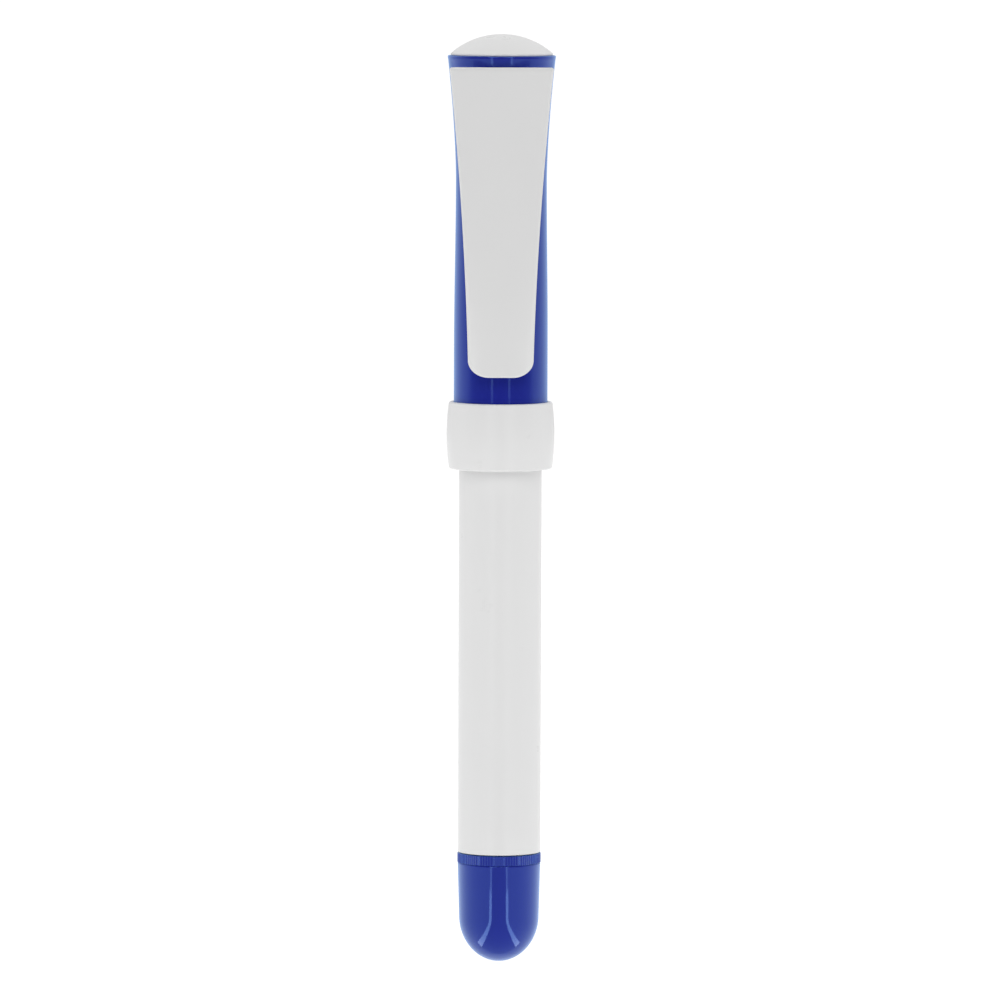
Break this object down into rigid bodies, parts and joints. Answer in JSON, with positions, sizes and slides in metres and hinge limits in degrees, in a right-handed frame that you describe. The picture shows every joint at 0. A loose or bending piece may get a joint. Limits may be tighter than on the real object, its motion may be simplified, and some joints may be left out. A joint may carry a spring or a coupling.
{
  "type": "counterfeit detector pen",
  "caption": "Capped felt-tip marker for testing banknotes, with a flared cap, a wide flat pocket clip, a crowned ring at the cap's mouth and a rounded end plug.",
  "frame": {"origin": "centre of the small flat on the nose of the end plug", "axes": "+Z along the pen towards the cap's dome, and -Y out of the face of the pocket clip"},
  "size_m": [0.0162, 0.0179, 0.14],
  "materials": {
    "blue_plastic": "glossy moulded",
    "white_plastic": "satin moulded",
    "natural_plastic": "soft waxy",
    "inked_fibre": "damp felt",
    "clear_film": "thin film"
  },
  "bodies": {
    "pen": {"end_plug": "blue_plastic", "barrel": "white_plastic", "grip_section": "white_plastic", "fibre_nib": "inked_fibre", "ink_reservoir": "inked_fibre", "reservoir_wrap": "clear_film", "breather_tube": "natural_plastic"},
    "cap": {"mouth_ring": "white_plastic", "cap_shell": "blue_plastic", "inner_cap": "natural_plastic", "cap_dome": "white_plastic"},
    "clip": {"pocket_clip": "white_plastic"}
  },
  "joints": [
    {"name": "cap_pull", "type": "slide", "parent": "pen", "child": "cap", "axis": [0, 0, 1], "range_m": [0, 0.055]},
    {"name": "clip_flex", "type": "hinge", "parent": "cap", "child": "clip", "pos_m": [0, -0.00726, 0.1328], "axis": [-1, 0, 0], "range_deg": [0, 4], "stiffness_Nm_per_rad": 1}
  ]
}
